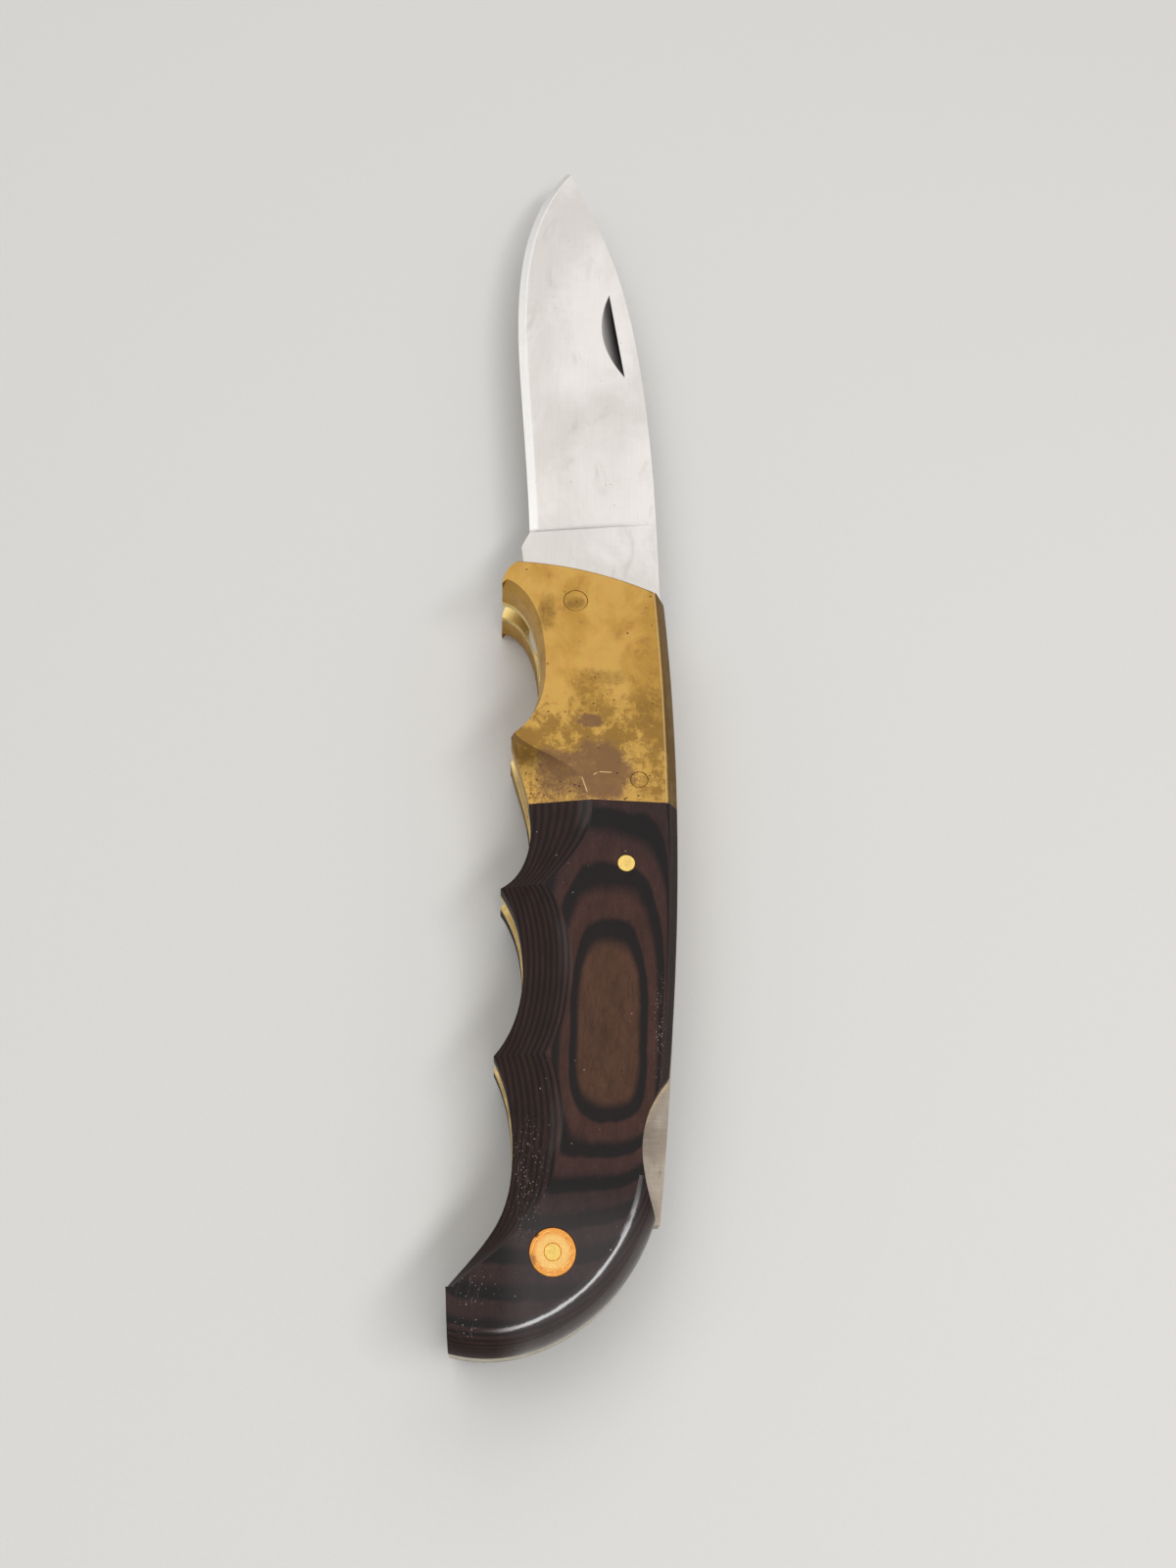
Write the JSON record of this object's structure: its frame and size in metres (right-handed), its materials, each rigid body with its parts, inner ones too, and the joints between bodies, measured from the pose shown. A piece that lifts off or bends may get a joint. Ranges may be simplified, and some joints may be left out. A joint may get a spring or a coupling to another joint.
{
  "type": "rigging knife",
  "caption": "Folding lock-back knife with a finger-grooved handle: locking blade, sprung rocker lock bar, solid metal bolsters and wooden scales.",
  "frame": {"origin": "on the blade's pivot axis, in the plane of the pile-side bolster's flat outer face, on which the knife lies", "axes": "+Y towards the point of the open blade, +X towards the spine, +Z out of the side with the nail nick"},
  "size_m": [0.027, 0.1914, 0.0153],
  "materials": {
    "blade_steel": "satin",
    "back_steel": "satin, worn",
    "spring_steel": "satin",
    "pin_steel": "satin",
    "bolster_brass": "polished, with brown patina",
    "liner_brass": "dull",
    "pin_brass": "polished",
    "washer_bronze": "satin",
    "scale_wood": "polished laminated wood"
  },
  "bodies": {
    "handle": {"bolster_mark_side": "bolster_brass", "bolster_pile_side": "bolster_brass", "bolster_rivet_mark_side": "pin_brass", "bolster_rivet_pile_side": "pin_brass", "butt_escutcheon_mark_side": "pin_brass", "butt_escutcheon_pile_side": "pin_brass", "butt_pin": "pin_brass", "butt_spacer": "back_steel", "liner_mark_side": "liner_brass", "liner_pile_side": "liner_brass", "lock_bar_pin": "pin_brass", "pivot_pin": "pin_brass", "pivot_washer_mark_side": "washer_bronze", "pivot_washer_pile_side": "washer_bronze", "scale_mark_side": "scale_wood", "scale_pile_side": "scale_wood", "spring_pin": "pin_steel"},
    "blade": {"blade": "blade_steel"},
    "lock_bar": {"lock_bar": "back_steel"},
    "lock_spring": {"lock_spring": "spring_steel"}
  },
  "joints": [
    {"name": "blade_fold", "type": "hinge", "parent": "handle", "child": "blade", "pos_m": [0, 0, 0.00765], "axis": [0, 0, 1], "range_deg": [0, 173]},
    {"name": "lock_press", "type": "hinge", "parent": "handle", "child": "lock_bar", "pos_m": [0.00781, -0.0397, 0.00765], "axis": [0, 0, -1], "range_deg": [0, 3.4], "stiffness_Nm_per_rad": 0.3, "springref_deg": -5.73},
    {"name": "spring_flex", "type": "hinge", "parent": "handle", "child": "lock_spring", "pos_m": [0.00613, -0.0891, 0.00765], "axis": [0, 0, 1], "range_deg": [0, 0.58]}
  ],
  "couplings": [
    {"joint": "spring_flex", "follows": "lock_press", "ratio": 0.17}
  ]
}
